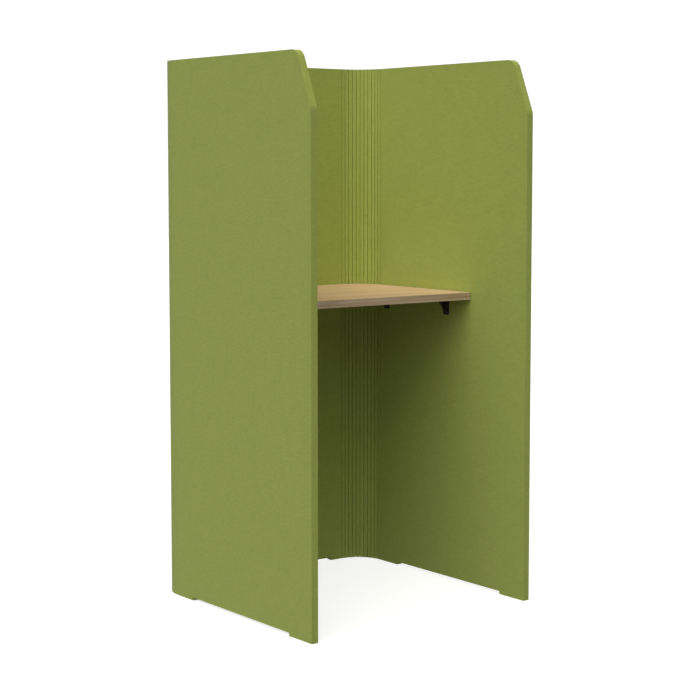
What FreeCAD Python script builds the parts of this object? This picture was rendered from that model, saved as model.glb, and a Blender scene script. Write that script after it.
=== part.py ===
import FreeCAD, Part

import math
import os

import Sketcher

# A stand-up study carrel: a U of thick felt board round three sides, with a worktop hung between
# the side walls on four small gusset brackets.
#
# Frame, in millimetres: the origin is on the floor at the middle of the footprint, +Z is up, +Y
# runs from the open front to the back wall, and +X is the right-hand side of a person facing it.

DIMENSIONS = [
    ("overall_width", 900, "outside of the left wall to outside of the right wall"),
    ("overall_depth", 900, "front edges of the side walls to the outside of the back"),
    ("overall_height", 1800, "floor to the top edge"),
    ("wall_thickness", 24, "felt board"),
    ("corner_inner_radius", 100, "inside of both rear bends"),
    ("kerf_count", 12, "cuts in one bend"),
    ("kerf_sweep", 90, "degrees from the first cut of a bend to the last"),
    ("kerf_depth", 20, "leaves a skin of board on the outside of the bend"),
    ("kerf_mouth", 1.4, "a straight cut closes up at the inner face as the board bends"),
    ("kerf_root", 4, "the cutter's width, which stays at the bottom of the cut"),
    ("foot_height", 10, "clearance below the walls between the feet"),
    ("front_foot_length", 120, "along a side wall, from its front edge"),
    ("rear_foot_side_reach", 225, "along a side wall, from the outside of the back"),
    ("rear_foot_back_reach", 173, "along the back, from the outside of a side wall"),
    ("shoulder_depth", 72, "sloped top corner of a side wall, along the top edge"),
    ("shoulder_drop", 175, "sloped top corner of a side wall, down the front edge"),
    ("shoulder_radius", 40, "rounds both ends of the slope"),
    ("spline_thickness", 5, "bar inside the joint at the middle of the back"),
    ("spline_width", 50, "half of it in each wall panel"),
    ("spline_end_gap", 30, "the slot stops short of the top and bottom edges"),
    ("worktop_height", 1020, "floor to the top face"),
    ("worktop_thickness", 25, "over both veneers"),
    ("worktop_setback", 275, "behind the front edges of the side walls"),
    ("worktop_gap", 1, "to the walls, all round"),
    ("veneer_thickness", 0.6, "top veneer and balancing veneer"),
    ("edging_thickness", 2, "strips round the rim"),
    ("bracket_width", 28, "along the wall"),
    ("bracket_reach", 60, "of the arm from the wall, and of the leg down it"),
    ("bracket_thickness", 3, "arm, leg and gusset web"),
    ("bracket_bend_radius", 2, "inside the angle"),
    ("bracket_tip_radius", 4, "corners at the ends of arm and leg"),
    ("web_margin", 3, "the web ends this far from the ends of arm and leg"),
    ("web_radius", 60, "hollow edge of the gusset web"),
    ("hole_inset", 9, "from the free side, and from the end, of arm or leg"),
    ("hole_spacing", 26, "between the two holes of an arm or leg"),
    ("front_bracket_inset", 128, "bracket middle behind the front of the worktop"),
    ("rear_bracket_inset", 140, "bracket middle ahead of the rear of the worktop"),
    ("wood_screw_radius", 2, "shank"),
    ("wood_screw_hole_radius", 2.3, "in a bracket arm"),
    ("wood_screw_length", 19, "below the head"),
    ("wood_screw_point", 4, "length of its tapered end"),
    ("wood_screw_head_radius", 4, "pan head"),
    ("wood_screw_head_height", 2.4, "pan head"),
    ("wall_screw_radius", 2.5, "M5 shank"),
    ("wall_screw_hole_radius", 2.8, "in a bracket leg"),
    ("wall_screw_length", 16, "below the head"),
    ("wall_screw_point", 1, "length of its tapered end"),
    ("wall_screw_head_radius", 4.6, "pan head"),
    ("wall_screw_head_height", 2.8, "pan head"),
    ("socket_radius", 1.7, "hexagon socket, over its corners"),
    ("socket_depth", 1.4, "hexagon socket"),
    ("insert_radius", 4, "outside of an insert nut"),
    ("insert_length", 15, "flush with the inner face of the wall"),
]

LEFT = -1
RIGHT = 1
SIDE_NAMES = {LEFT: "left", RIGHT: "right"}
FRONT = "front"
REAR = "rear"
BRACKETS = [(RIGHT, FRONT), (RIGHT, REAR), (LEFT, FRONT), (LEFT, REAR)]
FIND_TOLERANCE = 0.01

doc = FreeCAD.newDocument("study_carrel")
sheet = doc.addObject("Spreadsheet::Sheet", "Sheet")
nodes = []


def fill_sheet():
    """Write every driving dimension to the sheet, one row each: name, number and meaning."""
    for row, (alias, number, meaning) in enumerate(DIMENSIONS, start=1):
        sheet.set(f"A{row}", alias)
        sheet.set(f"B{row}", str(number))
        sheet.setAlias(f"B{row}", alias)
        sheet.set(f"C{row}", meaning)
    doc.recompute()


def measure(expression):
    """The present value of a sheet expression, as a plain number."""
    return float(sheet.evalExpression(expression))


def keep(part, label):
    """Make a finished object one of the sub-parts that are written out."""
    part.Label = label
    nodes.append(part)


# Places that several sub-parts share, as sheet expressions.

HALF_WIDTH = "Sheet.overall_width / 2"
HALF_DEPTH = "Sheet.overall_depth / 2"
OUTER_RADIUS = "(Sheet.corner_inner_radius + Sheet.wall_thickness)"
WALL_FACE_X = f"({HALF_WIDTH} - Sheet.wall_thickness)"
WALL_FACE_Y = f"({HALF_DEPTH} - Sheet.wall_thickness)"
WORKTOP_FRONT_Y = f"(-{HALF_DEPTH} + Sheet.worktop_setback)"
WORKTOP_BACK_Y = f"({WALL_FACE_Y} - Sheet.worktop_gap)"
WORKTOP_UNDERSIDE = "(Sheet.worktop_height - Sheet.worktop_thickness)"
HOLE_OFFSET_Y = "(Sheet.bracket_width / 2 - Sheet.hole_inset)"
OUTER_HOLE = "(Sheet.bracket_reach - Sheet.hole_inset)"
INNER_HOLE = f"({OUTER_HOLE} - Sheet.hole_spacing)"
BRACKET_Y = {
    FRONT: f"({WORKTOP_FRONT_Y} + Sheet.front_bracket_inset)",
    REAR: f"({WORKTOP_BACK_Y} - Sheet.rear_bracket_inset)",
}


def screw_y(side, place):
    """The line of a bracket's screws: nearer its free side than the side with the web."""
    return f"({BRACKET_Y[place]} - {side} * {HOLE_OFFSET_Y})"


def worktop_screw_places():
    """Each screw that holds the worktop, as (x, y)."""
    return [
        (f"{side} * ({WALL_FACE_X} - {reach})", screw_y(side, place))
        for side, place in BRACKETS
        for reach in (OUTER_HOLE, INNER_HOLE)
    ]


def wall_screw_places(side):
    """Each screw in one side wall, as (y, z)."""
    return [
        (screw_y(side, place), f"{WORKTOP_UNDERSIDE} - {drop}")
        for bracket_side, place in BRACKETS
        if bracket_side == side
        for drop in (OUTER_HOLE, INNER_HOLE)
    ]


# Sketches and features.


def new_sketch(body, plane_role, name, offset=None):
    """A sketch on one of the body's own origin planes, moved by sheet expressions for x, y or z."""
    plane = next(item for item in body.Origin.OriginFeatures if item.Role == plane_role)
    sketch = body.newObject("Sketcher::SketchObject", name)
    sketch.AttachmentSupport = [(plane, "")]
    sketch.MapMode = "FlatFace"
    for axis, expression in (offset or {}).items():
        sketch.setExpression(f"AttachmentOffset.Base.{axis}", expression)
    return sketch


def bind(sketch, constraint, name, expression):
    """Add a constraint that follows the sheet."""
    index = sketch.addConstraint(constraint)
    sketch.renameConstraint(index, name)
    sketch.setExpression(f"Constraints.{name}", expression)


def fix_point(sketch, edge, end, name, x, y):
    """Hold one point of an edge at x, y from the sketch's origin."""
    for axis, expression in (("X", x), ("Y", y)):
        place = Sketcher.Constraint(f"Distance{axis}", -1, 1, edge, end, measure(expression))
        bind(sketch, place, f"{name}_{axis.lower()}", expression)


def arc_between(start, finish, radius, turn):
    """The shorter arc between two points; its centre is left of the way to finish if turn is 1."""
    chord = finish - start
    left = FreeCAD.Vector(-chord.y, chord.x, 0).normalize()
    rise = math.sqrt(max(radius**2 - (chord.Length / 2) ** 2, 0))
    centre = (start + finish) / 2 + left * rise * turn
    angles = [math.atan2(end.y - centre.y, end.x - centre.x) for end in (start, finish)]
    circle = Part.Circle(centre, FreeCAD.Vector(0, 0, 1), radius)
    return Part.ArcOfCircle(circle, *angles[::turn])


def draw_outline(sketch, corners):
    """A closed outline. A corner is (x, y), or (x, y, radius, turn) where the edge after it is an arc."""
    points = [FreeCAD.Vector(measure(corner[0]), measure(corner[1]), 0) for corner in corners]
    edges = []
    for number, corner in enumerate(corners):
        start = points[number]
        finish = points[(number + 1) % len(points)]
        if len(corner) == 2:
            edge = sketch.addGeometry(Part.LineSegment(start, finish))
            edges.append((edge, 1, 2))
            continue
        radius, turn = corner[2:]
        edge = sketch.addGeometry(arc_between(start, finish, measure(radius), turn))
        edges.append((edge, 1, 2) if turn == 1 else (edge, 2, 1))
    for number, corner in enumerate(corners):
        edge, start_end, finish_end = edges[number]
        next_edge, next_start, _ = edges[(number + 1) % len(edges)]
        sketch.addConstraint(Sketcher.Constraint("Coincident", edge, finish_end, next_edge, next_start))
        fix_point(sketch, edge, start_end, f"corner{number}", corner[0], corner[1])
    for number, corner in enumerate(corners):
        if len(corner) == 4:
            edge = edges[number][0]
            radius = Sketcher.Constraint("Radius", edge, measure(corner[2]))
            bind(sketch, radius, f"radius{number}", corner[2])


def draw_circles(sketch, centres, radius):
    """Equal circles about (x, y) centres."""
    for number, (x, y) in enumerate(centres):
        centre = FreeCAD.Vector(measure(x), measure(y), 0)
        circle = Part.Circle(centre, FreeCAD.Vector(0, 0, 1), measure(radius))
        edge = sketch.addGeometry(circle)
        fix_point(sketch, edge, 3, f"centre{number}", x, y)
        bind(sketch, Sketcher.Constraint("Radius", edge, measure(radius)), f"radius{number}", radius)


def rectangle(low_x, low_y, high_x, high_y):
    """Four corners for draw_outline."""
    return [(low_x, low_y), (high_x, low_y), (high_x, high_y), (low_x, high_y)]


def pad(body, sketch, length, symmetric=False):
    """Solid from a sketch, along the sketch's normal or to both sides of it."""
    feature = body.newObject("PartDesign::Pad", f"{sketch.Name}_pad")
    feature.Profile = sketch
    feature.SideType = "Symmetric" if symmetric else "One side"
    feature.setExpression("Length", length)
    doc.recompute()


def pocket(body, sketch, depth=None, reverse=False):
    """Cut a sketch away: to a depth against the sketch's normal, or right through both ways."""
    volume = body.Shape.Volume
    feature = body.newObject("PartDesign::Pocket", f"{sketch.Name}_pocket")
    feature.Profile = sketch
    if depth is None:
        feature.SideType = "Symmetric"
        feature.Type = "ThroughAll"
    else:
        feature.Type = "Length"
        feature.setExpression("Length", depth)
        feature.Reversed = reverse
    doc.recompute()
    if body.Shape.Volume > volume - 1:
        raise RuntimeError(f"{feature.Name} removes nothing")
    return feature


def round_edges(body, name, radius, middles):
    """Round the edges of the body's tip whose middles are at the given points."""
    tip = body.Tip
    found = [
        f"Edge{number}"
        for number, edge in enumerate(tip.Shape.Edges, start=1)
        if any(edge.CenterOfMass.distanceToPoint(middle) < FIND_TOLERANCE for middle in middles)
    ]
    if len(found) != len(middles):
        raise RuntimeError(f"{name} finds {len(found)} edges, not {len(middles)}")
    feature = body.newObject("PartDesign::Fillet", name)
    feature.Base = (tip, found)
    feature.setExpression("Radius", radius)
    doc.recompute()


# Wall.


def wall_panel(side):
    """One half of the wall: a side wall, a kerfed bend and half of the back, cut from one board."""
    name = f"{SIDE_NAMES[side]}_wall_panel"
    body = doc.addObject("PartDesign::Body", name)

    plan = new_sketch(body, "XY_Plane", f"{name}_plan")
    bend_x = f"({HALF_WIDTH} - {OUTER_RADIUS})"
    bend_y = f"({HALF_DEPTH} - {OUTER_RADIUS})"
    corners = [
        ("0", HALF_DEPTH),
        (f"{side} * {bend_x}", HALF_DEPTH, OUTER_RADIUS, -side),
        (f"{side} * {HALF_WIDTH}", bend_y),
        (f"{side} * {HALF_WIDTH}", f"-{HALF_DEPTH}"),
        (f"{side} * {WALL_FACE_X}", f"-{HALF_DEPTH}"),
        (f"{side} * {WALL_FACE_X}", bend_y, "Sheet.corner_inner_radius", side),
        (f"{side} * {bend_x}", WALL_FACE_Y),
        ("0", WALL_FACE_Y),
    ]
    draw_outline(plan, corners)
    pad(body, plan, "Sheet.overall_height")

    cut_floor_clearance(body, name, side)
    cut_shoulder(body, name, side)
    cut_spline_slot(body, name, side)
    cut_insert_holes(body, name, side)
    cut_kerfs(body, name, side, bend_x, bend_y)
    keep(body, name)


def cut_floor_clearance(body, name, side):
    """Leave the board standing on a front foot and on one that goes round the bend."""
    side_gap = new_sketch(body, "YZ_Plane", f"{name}_side_clearance")
    front_end = f"-{HALF_DEPTH} + Sheet.front_foot_length"
    rear_end = f"{HALF_DEPTH} - Sheet.rear_foot_side_reach"
    draw_outline(side_gap, rectangle(front_end, "0", rear_end, "Sheet.foot_height"))
    pocket(body, side_gap)

    back_gap = new_sketch(body, "XZ_Plane", f"{name}_back_clearance")
    outer_end = f"{side} * ({HALF_WIDTH} - Sheet.rear_foot_back_reach)"
    draw_outline(back_gap, rectangle("0", "0", outer_end, "Sheet.foot_height"))
    pocket(body, back_gap)


def cut_shoulder(body, name, side):
    """Slope the top front corner of the side wall and round both ends of the slope."""
    slope = new_sketch(body, "YZ_Plane", f"{name}_shoulder")
    low_end = "Sheet.overall_height - Sheet.shoulder_drop"
    high_end = f"-{HALF_DEPTH} + Sheet.shoulder_depth"
    corners = [
        (f"-{HALF_DEPTH}", low_end),
        (high_end, "Sheet.overall_height"),
        (f"-{HALF_DEPTH}", "Sheet.overall_height"),
    ]
    draw_outline(slope, corners)
    pocket(body, slope)

    middle_x = side * measure(f"{HALF_WIDTH} - Sheet.wall_thickness / 2")
    ends = [
        FreeCAD.Vector(middle_x, measure(f"-{HALF_DEPTH}"), measure(low_end)),
        FreeCAD.Vector(middle_x, measure(high_end), measure("Sheet.overall_height")),
    ]
    round_edges(body, f"{name}_shoulder_round", "Sheet.shoulder_radius", ends)


def cut_spline_slot(body, name, side):
    """Half of the blind slot for the bar that joins the two panels."""
    slot = new_sketch(body, "YZ_Plane", f"{name}_spline_slot")
    middle = f"({HALF_DEPTH} - Sheet.wall_thickness / 2)"
    near = f"{middle} - Sheet.spline_thickness / 2"
    far = f"{middle} + Sheet.spline_thickness / 2"
    top = "Sheet.overall_height - Sheet.spline_end_gap"
    draw_outline(slot, rectangle(near, "Sheet.spline_end_gap", far, top))
    pocket(body, slot, "Sheet.spline_width / 2", reverse=side == RIGHT)


def cut_insert_holes(body, name, side):
    """Blind holes in the inner face for the insert nuts."""
    face = new_sketch(body, "YZ_Plane", f"{name}_insert_holes", {"z": f"{side} * {WALL_FACE_X}"})
    draw_circles(face, wall_screw_places(side), "Sheet.insert_radius")
    pocket(body, face, "Sheet.insert_length", reverse=side == RIGHT)


def cut_kerfs(body, name, side, bend_x, bend_y):
    """Cut the inside of the bend at equal angles, from one end of the arc to the other."""
    centre = {"x": f"{side} * {bend_x}", "y": bend_y}
    kerf = new_sketch(body, "XY_Plane", f"{name}_kerf", centre)
    mouth = "Sheet.kerf_mouth / 2"
    root = "Sheet.kerf_root / 2"
    mouth_radius = "Sheet.corner_inner_radius - Sheet.kerf_mouth"
    root_radius = "Sheet.corner_inner_radius + Sheet.kerf_depth"
    corners = [
        (f"-{mouth}", mouth_radius),
        (mouth, mouth_radius),
        (root, root_radius),
        (f"-{root}", root_radius),
    ]
    draw_outline(kerf, corners)
    first = pocket(body, kerf)

    volume = body.Shape.Volume
    row = body.newObject("PartDesign::PolarPattern", f"{name}_kerf_row")
    row.Originals = [first]
    row.Axis = (kerf, ["N_Axis"])
    row.Reversed = side == RIGHT
    row.setExpression("Angle", "Sheet.kerf_sweep")
    row.setExpression("Occurrences", "Sheet.kerf_count")
    body.Tip = row
    doc.recompute()
    if body.Shape.Volume > volume - 1:
        raise RuntimeError(f"{row.Name} removes nothing")


def back_joint_spline():
    """The bar that lines up and joins the two panels, hidden in their slots."""
    bar = doc.addObject("Part::Box", "back_joint_spline")
    bar.setExpression("Length", "Sheet.spline_width")
    bar.setExpression("Width", "Sheet.spline_thickness")
    bar.setExpression("Height", "Sheet.overall_height - 2 * Sheet.spline_end_gap")
    bar.setExpression("Placement.Base.x", "-Sheet.spline_width / 2")
    middle = f"{HALF_DEPTH} - Sheet.wall_thickness / 2"
    bar.setExpression("Placement.Base.y", f"{middle} - Sheet.spline_thickness / 2")
    bar.setExpression("Placement.Base.z", "Sheet.spline_end_gap")
    keep(bar, "back_joint_spline")


# Worktop.


def worktop_rim(inset):
    """The worktop's half width, front, back and rear corner radius, less an inset all round."""
    return {
        "half": f"({WALL_FACE_X} - Sheet.worktop_gap - {inset})",
        "front": f"({WORKTOP_FRONT_Y} + {inset})",
        "back": f"({WORKTOP_BACK_Y} - {inset})",
        "radius": f"(Sheet.corner_inner_radius - Sheet.worktop_gap - {inset})",
    }


def worktop_layer(label, underside, thickness, screw_hole_depth=None):
    """A flat layer of the board inside the edging, with the screws' pilot holes if it has a depth."""
    rim = worktop_rim("Sheet.edging_thickness")
    half, front, back, radius = rim["half"], rim["front"], rim["back"], rim["radius"]
    body = doc.addObject("PartDesign::Body", label)
    plan = new_sketch(body, "XY_Plane", f"{label}_plan", {"z": underside})
    corners = [
        (f"-{half}", front),
        (half, front),
        (half, f"{back} - {radius}", radius, 1),
        (f"{half} - {radius}", back),
        (f"-({half} - {radius})", back, radius, 1),
        (f"-{half}", f"{back} - {radius}"),
    ]
    draw_outline(plan, corners)
    pad(body, plan, thickness)
    if screw_hole_depth:
        holes = new_sketch(body, "XY_Plane", f"{label}_pilot_holes", {"z": underside})
        draw_circles(holes, worktop_screw_places(), "Sheet.wood_screw_radius")
        pocket(body, holes, screw_hole_depth, reverse=True)
    keep(body, label)


def worktop_contour_edging():
    """One strip bent round the left side, both rear corners and the right side."""
    outer = worktop_rim("0")
    inner = worktop_rim("Sheet.edging_thickness")
    body = doc.addObject("PartDesign::Body", "worktop_contour_edging")
    plan = new_sketch(body, "XY_Plane", "contour_edging_plan", {"z": WORKTOP_UNDERSIDE})
    corners = [
        (outer["half"], inner["front"]),
        (outer["half"], f"{outer['back']} - {outer['radius']}", outer["radius"], 1),
        (f"{outer['half']} - {outer['radius']}", outer["back"]),
        (f"-({outer['half']} - {outer['radius']})", outer["back"], outer["radius"], 1),
        (f"-{outer['half']}", f"{outer['back']} - {outer['radius']}"),
        (f"-{outer['half']}", inner["front"]),
        (f"-{inner['half']}", inner["front"]),
        (f"-{inner['half']}", f"{inner['back']} - {inner['radius']}", inner["radius"], -1),
        (f"-({inner['half']} - {inner['radius']})", inner["back"]),
        (f"{inner['half']} - {inner['radius']}", inner["back"], inner["radius"], -1),
        (inner["half"], f"{inner['back']} - {inner['radius']}"),
        (inner["half"], inner["front"]),
    ]
    draw_outline(plan, corners)
    pad(body, plan, "Sheet.worktop_thickness")
    keep(body, "worktop_contour_edging")


def worktop_front_edging():
    """The straight strip across the whole front."""
    rim = worktop_rim("0")
    strip = doc.addObject("Part::Box", "worktop_front_edging")
    strip.setExpression("Length", f"2 * {rim['half']}")
    strip.setExpression("Width", "Sheet.edging_thickness")
    strip.setExpression("Height", "Sheet.worktop_thickness")
    strip.setExpression("Placement.Base.x", f"-{rim['half']}")
    strip.setExpression("Placement.Base.y", rim["front"])
    strip.setExpression("Placement.Base.z", WORKTOP_UNDERSIDE)
    keep(strip, "worktop_front_edging")


# Brackets. A bracket is drawn as it sits on the right wall, about the line where the wall's inner
# face meets the underside of the worktop. The same part turned half round serves on the left.


def bracket(side, place):
    """A bent angle with a hollow-edged gusset web along one side of it."""
    name = f"{SIDE_NAMES[side]}_{place}_bracket"
    body = doc.addObject("PartDesign::Body", name)
    reach = "Sheet.bracket_reach"
    thick = "Sheet.bracket_thickness"
    inner_bend = "Sheet.bracket_bend_radius"
    outer_bend = f"({inner_bend} + {thick})"

    angle = new_sketch(body, "XZ_Plane", f"{name}_angle")
    corners = [
        ("0", f"-{outer_bend}", outer_bend, 1),
        (f"-{outer_bend}", "0"),
        (f"-{reach}", "0"),
        (f"-{reach}", f"-{thick}"),
        (f"-{outer_bend}", f"-{thick}", inner_bend, -1),
        (f"-{thick}", f"-{outer_bend}"),
        (f"-{thick}", f"-{reach}"),
        ("0", f"-{reach}"),
    ]
    draw_outline(angle, corners)
    pad(body, angle, "Sheet.bracket_width", symmetric=True)

    round_bracket_tips(body, name)

    web = new_sketch(body, "XZ_Plane", f"{name}_web", {"z": "-Sheet.bracket_width / 2"})
    web_tip = f"({reach} - Sheet.web_margin - Sheet.bracket_tip_radius)"
    corners = [
        (f"-{thick} / 2", f"-{outer_bend}"),
        (f"-{outer_bend}", f"-{thick} / 2"),
        (f"-{web_tip}", f"-{thick} / 2"),
        (f"-{web_tip}", f"-{thick}", "Sheet.web_radius", -1),
        (f"-{thick}", f"-{web_tip}"),
        (f"-{thick} / 2", f"-{web_tip}"),
    ]
    draw_outline(web, corners)
    pad(body, web, thick)

    arm_holes = new_sketch(body, "XY_Plane", f"{name}_arm_holes")
    arm_places = [(f"-{hole}", f"-{HOLE_OFFSET_Y}") for hole in (OUTER_HOLE, INNER_HOLE)]
    draw_circles(arm_holes, arm_places, "Sheet.wood_screw_hole_radius")
    pocket(body, arm_holes, thick)

    leg_holes = new_sketch(body, "YZ_Plane", f"{name}_leg_holes")
    leg_places = [(f"-{HOLE_OFFSET_Y}", f"-{hole}") for hole in (OUTER_HOLE, INNER_HOLE)]
    draw_circles(leg_holes, leg_places, "Sheet.wall_screw_hole_radius")
    pocket(body, leg_holes, thick)

    half_turn = 0 if side == RIGHT else 180
    body.Placement = FreeCAD.Placement(
        FreeCAD.Vector(0, 0, 0), FreeCAD.Rotation(FreeCAD.Vector(0, 0, 1), half_turn)
    )
    body.setExpression("Placement.Base.x", f"{side} * {WALL_FACE_X}")
    body.setExpression("Placement.Base.y", BRACKET_Y[place])
    body.setExpression("Placement.Base.z", WORKTOP_UNDERSIDE)
    keep(body, name)


def round_bracket_tips(body, name):
    """Round the two corners at the end of the arm and the two at the end of the leg."""
    half_width = measure("Sheet.bracket_width / 2")
    half_thick = measure("Sheet.bracket_thickness / 2")
    reach = measure("Sheet.bracket_reach")
    middles = []
    for edge_y in (-half_width, half_width):
        middles.append(FreeCAD.Vector(-reach, edge_y, -half_thick))
        middles.append(FreeCAD.Vector(-half_thick, edge_y, -reach))
    round_edges(body, f"{name}_tips", "Sheet.bracket_tip_radius", middles)


# Fixings. A screw points along its own +Z, with its head below the origin.


def cylinder(name, radius, height, base="0"):
    """A cylinder on the Z axis, from base up."""
    solid = doc.addObject("Part::Cylinder", name)
    solid.setExpression("Radius", radius)
    solid.setExpression("Height", height)
    solid.setExpression("Placement.Base.z", base)
    return solid


def cone(name, low_radius, high_radius, height, base):
    """A tapered cylinder on the Z axis, from base up."""
    solid = doc.addObject("Part::Cone", name)
    solid.setExpression("Radius1", low_radius)
    solid.setExpression("Radius2", high_radius)
    solid.setExpression("Height", height)
    solid.setExpression("Placement.Base.z", base)
    return solid


def place_along(solid, direction, x, y, z):
    """Turn an object's +Z to a direction and move its origin to x, y, z."""
    turn = FreeCAD.Rotation(FreeCAD.Vector(0, 0, 1), FreeCAD.Vector(*direction))
    solid.Placement = FreeCAD.Placement(FreeCAD.Vector(0, 0, 0), turn)
    for axis, expression in (("x", x), ("y", y), ("z", z)):
        solid.setExpression(f"Placement.Base.{axis}", expression)


def screw(name, kind, tip_share):
    """A pan-head screw with a hexagon socket. tip_share is the tip's radius over the shank's."""
    size = f"Sheet.{kind}"
    shank_length = f"({size}_length - {size}_point)"
    half_head = f"{size}_head_height / 2"
    pieces = [
        cone(f"{name}_crown", f"{size}_head_radius * 0.7", f"{size}_head_radius", half_head,
             f"-{size}_head_height"),
        cylinder(f"{name}_rim", f"{size}_head_radius", half_head, f"-{half_head}"),
        cylinder(f"{name}_shank", f"{size}_radius", shank_length),
        cone(f"{name}_point", f"{size}_radius", f"{size}_radius * {tip_share}", f"{size}_point",
             shank_length),
    ]
    blank = doc.addObject("Part::MultiFuse", f"{name}_blank")
    blank.Shapes = pieces
    socket = doc.addObject("Part::Prism", f"{name}_socket")
    socket.Polygon = 6
    socket.setExpression("Circumradius", "Sheet.socket_radius")
    socket.setExpression("Height", "Sheet.socket_depth")
    socket.setExpression("Placement.Base.z", f"-{size}_head_height")
    finished = doc.addObject("Part::Cut", name)
    finished.Base = blank
    finished.Tool = socket
    return finished


def group(label, members):
    """Equal fixings as one sub-part, each a solid of its own."""
    compound = doc.addObject("Part::Compound", label)
    compound.Links = members
    keep(compound, label)


def worktop_screws():
    """Wood screws up through the bracket arms into the worktop."""
    screws = []
    for number, (x, y) in enumerate(worktop_screw_places(), start=1):
        one = screw(f"worktop_screw_{number}", "wood_screw", 0.2)
        place_along(one, (0, 0, 1), x, y, f"{WORKTOP_UNDERSIDE} - Sheet.bracket_thickness")
        screws.append(one)
    group("worktop_screws", screws)


def wall_screws():
    """Machine screws through the bracket legs into the insert nuts."""
    screws = []
    for side in (RIGHT, LEFT):
        for y, z in wall_screw_places(side):
            one = screw(f"wall_screw_{len(screws) + 1}", "wall_screw", 0.8)
            leg_face = f"{side} * ({WALL_FACE_X} - Sheet.bracket_thickness)"
            place_along(one, (side, 0, 0), leg_face, y, z)
            screws.append(one)
    group("wall_screws", screws)


def wall_insert_nuts():
    """Threaded sleeves set flush in the felt."""
    nuts = []
    for side in (RIGHT, LEFT):
        for y, z in wall_screw_places(side):
            name = f"wall_insert_nut_{len(nuts) + 1}"
            nut = doc.addObject("Part::Cut", name)
            nut.Base = cylinder(f"{name}_sleeve", "Sheet.insert_radius", "Sheet.insert_length")
            nut.Tool = cylinder(f"{name}_bore", "Sheet.wall_screw_radius", "Sheet.insert_length")
            place_along(nut, (side, 0, 0), f"{side} * {WALL_FACE_X}", y, z)
            nuts.append(nut)
    group("wall_insert_nuts", nuts)


def check_document():
    """Stop if any object failed or any sub-part is not a sound shape."""
    doc.recompute()
    failed = [item.Name for item in doc.Objects if {"Invalid", "Error"} & set(item.State)]
    if failed:
        raise RuntimeError(f"failed objects: {failed}")
    for node in nodes:
        shape = node.Shape
        if shape.isNull() or not shape.isValid() or not shape.Solids:
            raise RuntimeError(f"{node.Label} is not a sound solid")


def write_parts():
    """Write each sub-part to a STEP file of its own, named by its label."""
    os.makedirs("parts", exist_ok=True)
    for node in nodes:
        node.Shape.exportStep(os.path.join("parts", f"{node.Label}.step"))
        print(f"{node.Label}: {len(node.Shape.Solids)} solid(s), {node.Shape.Volume / 1000:.1f} cm3")


def main():
    fill_sheet()
    wall_panel(LEFT)
    wall_panel(RIGHT)
    back_joint_spline()
    core_underside = f"{WORKTOP_UNDERSIDE} + Sheet.veneer_thickness"
    core_thickness = "Sheet.worktop_thickness - 2 * Sheet.veneer_thickness"
    hole_depth = "Sheet.wood_screw_length - Sheet.bracket_thickness - Sheet.veneer_thickness"
    worktop_layer("worktop_core", core_underside, core_thickness, hole_depth)
    top_underside = "Sheet.worktop_height - Sheet.veneer_thickness"
    worktop_layer("worktop_top_veneer", top_underside, "Sheet.veneer_thickness")
    veneer = "Sheet.veneer_thickness"
    worktop_layer("worktop_bottom_veneer", WORKTOP_UNDERSIDE, veneer, veneer)
    worktop_front_edging()
    worktop_contour_edging()
    for side, place in BRACKETS:
        bracket(side, place)
    worktop_screws()
    wall_screws()
    wall_insert_nuts()
    check_document()
    write_parts()


main()
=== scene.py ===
import math

import bmesh
import bpy
from mathutils import Euler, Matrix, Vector


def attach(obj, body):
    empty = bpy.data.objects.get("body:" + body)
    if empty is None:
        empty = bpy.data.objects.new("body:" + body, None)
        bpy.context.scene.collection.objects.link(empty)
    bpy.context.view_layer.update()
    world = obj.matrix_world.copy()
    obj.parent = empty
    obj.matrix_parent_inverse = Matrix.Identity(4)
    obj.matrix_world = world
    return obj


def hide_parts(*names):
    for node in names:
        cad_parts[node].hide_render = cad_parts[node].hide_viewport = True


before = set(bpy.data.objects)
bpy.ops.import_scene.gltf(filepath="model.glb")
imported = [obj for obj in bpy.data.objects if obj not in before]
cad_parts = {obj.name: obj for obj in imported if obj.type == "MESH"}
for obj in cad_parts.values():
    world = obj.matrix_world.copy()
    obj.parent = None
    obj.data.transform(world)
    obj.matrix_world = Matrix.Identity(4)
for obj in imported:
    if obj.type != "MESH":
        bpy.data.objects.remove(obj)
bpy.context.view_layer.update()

# Camera: standing eye height, off the open front's left corner.
CAMERA_PLACE = (-3.506, -4.652, 1.453)
CAMERA_YAW = 37.31
CAMERA_PITCH = 4.98
CAMERA_LENS = 89.55
CAMERA_SHIFT_Y = -0.047
CAMERA_SENSOR = 36.0
CAMERA_REACH = 100.0

# Light strengths: a white matt face square to a light of strength 1 comes out white.
# AMBIENT is the even light from above the horizon and AMBIENT_BELOW that from below it.
AMBIENT = 0.23
AMBIENT_BELOW = 0.14
HORIZON_BLEND = 0.05

# Distant softboxes: name, azimuth, elevation, strength, softness in degrees, colour.
SOFT_LIGHTS = (
    ("key", -51.0, 36.0, 0.3, 60.0, (1.0, 1.03, 1.0)),
    ("key_high", -49.0, 58.0, 0.325, 50.0, (1.08, 1.0, 0.85)),
    ("left", -90.0, 60.0, 0.18, 40.0, (1.0, 1.0, 1.15)),
    ("rear", 135.0, 38.0, 0.36, 40.0, (1.0, 0.92, 0.8)),
)

# The stage: how much light the floor and the dome give back, and their size in metres.
STAGE_RADIUS = 30.0
FLOOR_TONE = 0.45
FLOOR_GLOW = 0.78
DOME_GLOW = 1.1

# Rounding of edges, in metres.
FELT_EDGE = 0.0014
KERF_EDGE = 0.0003
VENEER_EDGE = 0.0001
WOOD_EDGE = 0.0006
METAL_EDGE = 0.0005
SCREW_EDGE = 0.00035

# Edges that bend more than SHARP_ANGLE are rounded. Faces that bend less than FLAT_ANGLE are one.
SHARP_ANGLE = math.radians(28.0)
FLAT_ANGLE = math.radians(1.0)
MERGE_DISTANCE = 1e-6

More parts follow.
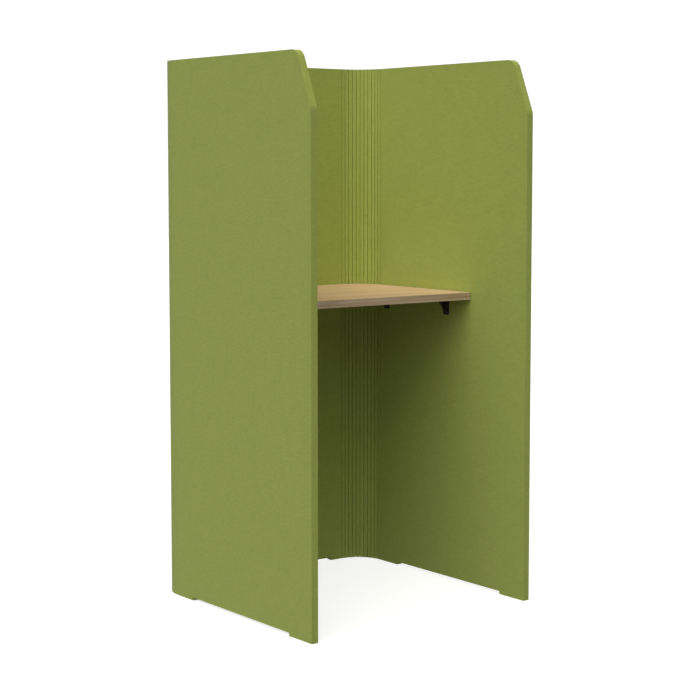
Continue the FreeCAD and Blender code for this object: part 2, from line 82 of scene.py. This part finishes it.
# Axis of the right rear bend, a radius just outside the kerf roots, and a small margin.
BEND_X = 0.326
BEND_Y = 0.326
KERF_ROOT_RADIUS = 0.1215
BEND_MARGIN = 0.001

# Felt: its green, and the share of each size of mottle in how the green varies.
FELT_GREEN = (0.375, 0.448, 0.0995)
MOTTLE_SHARE = 0.55
FLECK_SHARE = 0.3
CLOUD_SHARE = 0.2

# Oak: how much finer the lines and pores are than the bands, with and across the grain.
LINE_FINENESS = (3.0, 9.0)
PORE_FINENESS = (22.0, 60.0)
GRAIN_WANDER = 0.05
OAK_LIGHT = (0.92, 0.62, 0.405)
OAK_MID = (0.855, 0.56, 0.35)
OAK_DARK = (0.71, 0.445, 0.262)

# The darker streak along the edge strip: its height, waver and half width in metres, and its tint.
HEART_HEIGHT = 1.0052
HEART_WAVER = 0.003
HEART_CORE = 0.0008
HEART_FADE = 0.0045
HEART_TINT = (0.8, 0.7, 0.62)


def make_camera():
    """The photograph's viewing angle."""
    data = bpy.data.cameras.new("camera")
    data.lens = CAMERA_LENS
    data.sensor_width = CAMERA_SENSOR
    data.shift_y = CAMERA_SHIFT_Y
    data.clip_end = CAMERA_REACH
    camera = bpy.data.objects.new("camera", data)
    camera.location = CAMERA_PLACE
    camera.rotation_euler = Euler(
        (math.radians(90.0 - CAMERA_PITCH), 0.0, math.radians(-CAMERA_YAW)), "XYZ"
    )
    bpy.context.scene.collection.objects.link(camera)
    bpy.context.scene.camera = camera


# Lighting and the stage.


def make_world():
    """The even part of the studio light, weaker from below the horizon."""
    world = bpy.data.worlds.new("studio")
    bpy.context.scene.world = world
    world.use_nodes = True
    tree = world.node_tree
    direction = tree.nodes.new("ShaderNodeTexCoord")
    parts = tree.nodes.new("ShaderNodeSeparateXYZ")
    level = tree.nodes.new("ShaderNodeMapRange")
    tree.links.new(direction.outputs["Generated"], parts.inputs["Vector"])
    tree.links.new(parts.outputs["Z"], level.inputs["Value"])
    level.inputs["From Min"].default_value = -HORIZON_BLEND
    level.inputs["From Max"].default_value = HORIZON_BLEND
    level.inputs["To Min"].default_value = AMBIENT_BELOW
    level.inputs["To Max"].default_value = AMBIENT
    background = tree.nodes["Background"]
    background.inputs["Color"].default_value = (1.0, 1.0, 1.0, 1.0)
    tree.links.new(level.outputs["Result"], background.inputs["Strength"])


def soft_light(name, azimuth, elevation, strength, softness, colour):
    """A distant softbox. Azimuth 0 is in front of the carrel and 90 on its right, in degrees."""
    data = bpy.data.lights.new(name, "SUN")
    data.energy = math.pi * strength
    data.angle = math.radians(softness)
    data.color = colour
    light = bpy.data.objects.new(name, data)
    turn, rise = math.radians(azimuth), math.radians(elevation)
    towards = Vector(
        (math.sin(turn) * math.cos(rise), -math.cos(turn) * math.cos(rise), math.sin(rise))
    )
    light.rotation_euler = towards.to_track_quat("Z", "Y").to_euler()
    bpy.context.scene.collection.objects.link(light)


def stage_piece(name, bm, material):
    """A part of the set, seen by the camera and lighting nothing."""
    mesh = bpy.data.meshes.new(name)
    bm.to_mesh(mesh)
    bm.free()
    mesh.materials.append(material)
    piece = bpy.data.objects.new(name, mesh)
    bpy.context.scene.collection.objects.link(piece)
    piece.visible_diffuse = False
    return piece


def make_stage():
    """A pale floor that takes soft shadows, inside a plain pale dome."""
    paint = bpy.data.materials.new("floor_paint")
    paint.use_nodes = True
    shader = paint.node_tree.nodes["Principled BSDF"]
    shader.inputs["Base Color"].default_value = (FLOOR_TONE, FLOOR_TONE, FLOOR_TONE, 1.0)
    shader.inputs["Roughness"].default_value = 1.0
    shader.inputs["Specular IOR Level"].default_value = 0.0
    shader.inputs["Emission Color"].default_value = (1.0, 1.0, 1.0, 1.0)
    shader.inputs["Emission Strength"].default_value = FLOOR_GLOW
    bm = bmesh.new()
    bmesh.ops.create_circle(bm, cap_ends=True, segments=64, radius=STAGE_RADIUS)
    stage_piece("floor", bm, paint)

    glow = bpy.data.materials.new("dome_glow")
    glow.use_nodes = True
    shader = glow.node_tree.nodes["Principled BSDF"]
    shader.inputs["Base Color"].default_value = (0.0, 0.0, 0.0, 1.0)
    shader.inputs["Specular IOR Level"].default_value = 0.0
    shader.inputs["Emission Color"].default_value = (1.0, 1.0, 1.0, 1.0)
    shader.inputs["Emission Strength"].default_value = DOME_GLOW
    bm = bmesh.new()
    bmesh.ops.create_icosphere(bm, subdivisions=4, radius=STAGE_RADIUS)
    dome = stage_piece("dome", bm, glow)
    dome.visible_shadow = False
    dome.visible_glossy = False


# Node graphs.


class Graph:
    """A material's node tree with short calls for what the materials here need."""

    def __init__(self, name):
        self.material = bpy.data.materials.new(name)
        self.material.use_nodes = True
        self.tree = self.material.node_tree
        self.shader = self.tree.nodes["Principled BSDF"]
        self.place = self.add("ShaderNodeTexCoord").outputs["Object"]

    def add(self, kind, **settings):
        node = self.tree.nodes.new(kind)
        for key, value in settings.items():
            setattr(node, key, value)
        return node

    def link(self, source, target):
        self.tree.links.new(source, target)

    def feed(self, socket, value):
        """Link an output to a socket, or set the socket's own value."""
        if isinstance(value, bpy.types.NodeSocket):
            self.link(value, socket)
        else:
            socket.default_value = value

    def stretched(self, scale, source=None):
        node = self.add("ShaderNodeMapping")
        self.link(source or self.place, node.inputs["Vector"])
        node.inputs["Scale"].default_value = scale
        return node.outputs["Vector"]

    def noise(self, scale, detail=2.0, roughness=0.5, vector=None, distortion=0.0, kind="FBM"):
        node = self.add("ShaderNodeTexNoise", noise_type=kind)
        self.link(vector or self.place, node.inputs["Vector"])
        node.inputs["Scale"].default_value = scale
        node.inputs["Detail"].default_value = detail
        node.inputs["Roughness"].default_value = roughness
        node.inputs["Distortion"].default_value = distortion
        return node.outputs["Fac"]

    def math(self, operation, first, second=0.0, third=0.0):
        node = self.add("ShaderNodeMath", operation=operation)
        for socket, value in zip(node.inputs, (first, second, third)):
            self.feed(socket, value)
        return node.outputs["Value"]

    def ramp(self, factor, stops):
        node = self.add("ShaderNodeValToRGB")
        self.link(factor, node.inputs["Fac"])
        elements = node.color_ramp.elements
        while len(elements) < len(stops):
            elements.new(0.5)
        for element, (position, colour) in zip(elements, stops):
            element.position = position
            element.color = (*colour, 1.0)
        return node.outputs["Color"]

    def span(self, value, from_low, from_high, to_low=0.0, to_high=1.0):
        node = self.add("ShaderNodeMapRange")
        self.link(value, node.inputs["Value"])
        for name, number in (
            ("From Min", from_low), ("From Max", from_high), ("To Min", to_low), ("To Max", to_high)
        ):
            node.inputs[name].default_value = number
        return node.outputs["Result"]

    def mix(self, factor, first, second, blend="MIX"):
        node = self.add("ShaderNodeMix", data_type="RGBA", blend_type=blend)
        self.feed(node.inputs[0], factor)
        self.feed(node.inputs[6], first)
        self.feed(node.inputs[7], second)
        return node.outputs[2]

    def bump(self, height, strength, distance):
        node = self.add("ShaderNodeBump")
        self.link(height, node.inputs["Height"])
        node.inputs["Strength"].default_value = strength
        node.inputs["Distance"].default_value = distance
        self.link(node.outputs["Normal"], self.shader.inputs["Normal"])


def scaled(colour, factor):
    return tuple(channel * factor for channel in colour)


def felt_material():
    """Needle-punched felt board: matted fibres of two close greens with a faint mottle."""
    graph = Graph("felt_board")
    laid = graph.stretched((0.6, 0.6, 1.2))
    cloud = graph.noise(26.0, detail=3.0)
    mottle = graph.noise(100.0, detail=3.0, roughness=0.55, vector=laid)
    fibre = graph.noise(
        950.0, detail=4.0, roughness=0.6, distortion=1.2, kind="RIDGED_MULTIFRACTAL"
    )
    fleck = graph.noise(420.0, detail=2.0, roughness=0.8)
    mixed = 0.5
    for layer, share in ((mottle, MOTTLE_SHARE), (fleck, FLECK_SHARE), (cloud, CLOUD_SHARE)):
        mixed = graph.math("MULTIPLY_ADD", graph.math("SUBTRACT", layer, 0.5), share, mixed)
    colour = graph.ramp(
        mixed,
        [
            (0.15, scaled(FELT_GREEN, 0.84)),
            (0.5, FELT_GREEN),
            (0.85, scaled(FELT_GREEN, 1.14)),
        ],
    )
    graph.link(colour, graph.shader.inputs["Base Color"])
    graph.shader.inputs["Roughness"].default_value = 0.95
    graph.shader.inputs["Specular IOR Level"].default_value = 0.12
    graph.shader.inputs["Sheen Weight"].default_value = 0.12
    graph.shader.inputs["Sheen Roughness"].default_value = 0.5
    height = graph.math("MULTIPLY_ADD", fibre, 0.35, mottle)
    graph.bump(height, 0.55, 0.0012)
    return graph.material


def oak_colour(graph, along, across, tones):
    """Straight oak figure: its colour, its pores and its lines.

    along and across are the noise scales with and across the grain, which runs along X.
    """
    bend = graph.noise(1.6, detail=1.0)
    shifted = graph.add("ShaderNodeVectorMath", operation="ADD")
    graph.link(graph.place, shifted.inputs[0])
    offset = graph.add("ShaderNodeCombineXYZ")
    graph.link(graph.span(bend, 0.0, 1.0, -GRAIN_WANDER, GRAIN_WANDER), offset.inputs["Y"])
    graph.link(offset.outputs["Vector"], shifted.inputs[1])

    def layer(fineness, detail, roughness):
        scale = (along * fineness[0], across * fineness[1], across * fineness[1])
        vector = graph.stretched(scale, shifted.outputs["Vector"])
        return graph.noise(1.0, detail=detail, roughness=roughness, vector=vector)

    band = layer((1.0, 1.0), 3.0, 0.5)
    line = layer(LINE_FINENESS, 5.0, 0.7)
    pore = layer(PORE_FINENESS, 2.0, 0.6)
    figure = graph.math("MULTIPLY_ADD", graph.math("SUBTRACT", line, 0.5), 0.7, band)
    colour = graph.ramp(figure, tones)
    pores = graph.span(pore, 0.56, 0.72)
    return colour, pores, line


def veneer_material():
    """Oak veneer under a satin lacquer."""
    graph = Graph("oak_veneer")
    tones = [(0.2, OAK_DARK), (0.42, OAK_MID), (0.56, OAK_LIGHT), (0.8, scaled(OAK_LIGHT, 1.08))]
    colour, pores, line = oak_colour(graph, 1.3, 16.0, tones)
    colour = graph.mix(graph.math("MULTIPLY", pores, 0.35), colour, (*scaled(OAK_DARK, 0.75), 1.0))
    graph.link(colour, graph.shader.inputs["Base Color"])
    graph.link(graph.span(line, 0.3, 0.7, 0.36, 0.46), graph.shader.inputs["Roughness"])
    graph.shader.inputs["Specular IOR Level"].default_value = 0.45
    height = graph.math("MULTIPLY_ADD", pores, -1.0, line)
    graph.bump(height, 0.18, 0.0004)
    return graph.material


def heart_streak(graph):
    """A wavering darker streak low on the edge strip, 1 on its line and 0 beside it."""
    height = graph.add("ShaderNodeSeparateXYZ")
    graph.link(graph.place, height.inputs["Vector"])
    waver = graph.noise(1.0, detail=2.0, vector=graph.stretched((5.0, 5.0, 0.0)))
    offset = graph.span(waver, 0.2, 0.8, -HEART_WAVER, HEART_WAVER)
    from_line = graph.math("SUBTRACT", height.outputs["Z"], HEART_HEIGHT)
    distance = graph.math("ABSOLUTE", graph.math("ADD", from_line, offset))
    return graph.span(distance, HEART_CORE, HEART_FADE, 1.0, 0.0)


def edging_material():
    """The darker, greyer oak of the edge strips."""
    graph = Graph("oak_edging")
    tones = [
        (0.25, (0.41, 0.285, 0.168)),
        (0.45, (0.52, 0.385, 0.248)),
        (0.6, (0.575, 0.45, 0.315)),
        (0.8, (0.66, 0.52, 0.375)),
    ]
    colour, pores, line = oak_colour(graph, 1.6, 75.0, tones)
    colour = graph.mix(graph.math("MULTIPLY", pores, 0.3), colour, (0.2, 0.13, 0.07, 1.0))
    colour = graph.mix(heart_streak(graph), colour, (*HEART_TINT, 1.0), "MULTIPLY")
    graph.link(colour, graph.shader.inputs["Base Color"])
    graph.shader.inputs["Roughness"].default_value = 0.48
    graph.shader.inputs["Specular IOR Level"].default_value = 0.4
    graph.bump(line, 0.2, 0.0004)
    return graph.material


def core_material():
    """Chipboard, seen only where the veneers are taken off."""
    graph = Graph("board_core")
    cell = graph.add("ShaderNodeTexVoronoi")
    graph.link(graph.stretched((180.0, 260.0, 420.0)), cell.inputs["Vector"])
    cell.inputs["Scale"].default_value = 1.0
    tone = graph.add("ShaderNodeSeparateColor")
    graph.link(cell.outputs["Color"], tone.inputs["Color"])
    colour = graph.ramp(
        tone.outputs["Red"],
        [(0.0, (0.34, 0.22, 0.11)), (0.6, (0.52, 0.38, 0.21)), (1.0, (0.62, 0.48, 0.3))],
    )
    graph.link(colour, graph.shader.inputs["Base Color"])
    graph.shader.inputs["Roughness"].default_value = 0.85
    graph.bump(cell.outputs["Distance"], 0.3, 0.0006)
    return graph.material


def black_steel_material():
    """Matt black powder coat with its fine orange peel."""
    graph = Graph("black_coated_steel")
    peel = graph.noise(900.0, detail=2.0)
    dust = graph.noise(60.0, detail=4.0, roughness=0.7)
    colour = graph.ramp(dust, [(0.3, (0.006, 0.006, 0.006)), (0.75, (0.016, 0.016, 0.015))])
    graph.link(colour, graph.shader.inputs["Base Color"])
    graph.link(graph.span(dust, 0.3, 0.7, 0.42, 0.56), graph.shader.inputs["Roughness"])
    graph.shader.inputs["Specular IOR Level"].default_value = 0.4
    graph.bump(peel, 0.25, 0.0003)
    return graph.material


def metal_material(name, dark, light, low_rough, high_rough, grain):
    """Bare or plated metal between two tones, with a fine grain."""
    graph = Graph(name)
    streak = graph.noise(1.0, detail=3.0, vector=graph.stretched(grain))
    bloom = graph.noise(140.0, detail=3.0)
    both = graph.math("MULTIPLY_ADD", graph.math("SUBTRACT", bloom, 0.5), 0.6, streak)
    graph.link(graph.ramp(both, [(0.25, dark), (0.75, light)]), graph.shader.inputs["Base Color"])
    graph.link(graph.span(both, 0.3, 0.7, low_rough, high_rough), graph.shader.inputs["Roughness"])
    graph.shader.inputs["Metallic"].default_value = 1.0
    graph.bump(streak, 0.1, 0.0002)
    return graph.material


# Pieces.


def near_bend_axis(point):
    """True for a point on a kerf, or on the inner face of a rear bend."""
    across = abs(point.x) - BEND_X
    along = point.y - BEND_Y
    inside = across > -BEND_MARGIN and along > -BEND_MARGIN
    return inside and math.hypot(across, along) < KERF_ROOT_RADIUS


def edge_weight(edge, narrow):
    """How much of the full rounding an edge gets: none along a smooth surface, little at a kerf."""
    if len(edge.link_faces) != 2 or edge.calc_face_angle() < SHARP_ANGLE:
        return 0.0
    if narrow and all(near_bend_axis(vert.co) for vert in edge.verts):
        return KERF_EDGE / FELT_EDGE
    return 1.0


def smoothed_copy(node, width, segments, narrow=False):
    """A copy of a CAD node's mesh with its flat faces whole and its sharp edges rounded."""
    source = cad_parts[node]
    bm = bmesh.new()
    bm.from_mesh(source.data)
    bmesh.ops.remove_doubles(bm, verts=bm.verts, dist=MERGE_DISTANCE)
    bmesh.ops.dissolve_limit(bm, angle_limit=FLAT_ANGLE, verts=bm.verts, edges=bm.edges)
    weights = bm.edges.layers.float.new("bevel_weight_edge")
    for edge in bm.edges:
        edge[weights] = edge_weight(edge, narrow)
    mesh = bpy.data.meshes.new(f"{node}_finish")
    bm.to_mesh(mesh)
    bm.free()
    piece = bpy.data.objects.new(f"{node}_finish", mesh)
    bpy.context.scene.collection.objects.link(piece)
    for polygon in mesh.polygons:
        polygon.use_smooth = True
    bevel = piece.modifiers.new("edges", "BEVEL")
    bevel.width = width
    bevel.segments = segments
    bevel.limit_method = "WEIGHT"
    normals = piece.modifiers.new("normals", "WEIGHTED_NORMAL")
    normals.weight = 100
    normals.keep_sharp = True
    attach(piece, "root")
    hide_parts(node)
    return piece


def dress(piece, material):
    """Give a piece its material."""
    piece.data.materials.clear()
    piece.data.materials.append(material)


def make_walls():
    felt = felt_material()
    for side in ("left", "right"):
        dress(smoothed_copy(f"{side}_wall_panel", FELT_EDGE, 2, narrow=True), felt)


def make_worktop():
    veneer = veneer_material()
    edging = edging_material()
    for face in ("top", "bottom"):
        dress(smoothed_copy(f"worktop_{face}_veneer", VENEER_EDGE, 1), veneer)
    for strip in ("front", "contour"):
        dress(smoothed_copy(f"worktop_{strip}_edging", WOOD_EDGE, 2), edging)


def make_fixings():
    black = black_steel_material()
    for side in ("left", "right"):
        for place in ("front", "rear"):
            node = f"{side}_{place}_bracket"
            dress(smoothed_copy(node, METAL_EDGE, 2), black)
    zinc = metal_material(
        "black_zinc_steel",
        (0.03, 0.03, 0.032), (0.06, 0.06, 0.06), 0.32, 0.46, (900.0, 900.0, 900.0),
    )
    for node in ("worktop_screws", "wall_screws"):
        dress(smoothed_copy(node, SCREW_EDGE, 2), zinc)


def dress_hidden_nodes():
    """The CAD nodes inside the board and the walls keep their own meshes."""
    hidden = {
        "worktop_core": core_material(),
        "back_joint_spline": metal_material(
            "spline_aluminium",
            (0.62, 0.62, 0.63), (0.78, 0.78, 0.78), 0.3, 0.4, (700.0, 700.0, 4.0),
        ),
        "wall_insert_nuts": metal_material(
            "insert_brass",
            (0.62, 0.44, 0.18), (0.82, 0.64, 0.3), 0.3, 0.42, (500.0, 500.0, 500.0),
        ),
    }
    for node, material in hidden.items():
        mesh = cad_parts[node].data
        mesh.materials.clear()
        mesh.materials.append(material)


def main():
    make_camera()
    make_world()
    make_stage()
    for settings in SOFT_LIGHTS:
        soft_light(*settings)
    make_walls()
    make_worktop()
    make_fixings()
    dress_hidden_nodes()
    bpy.context.scene.view_settings.view_transform = "Standard"


main()
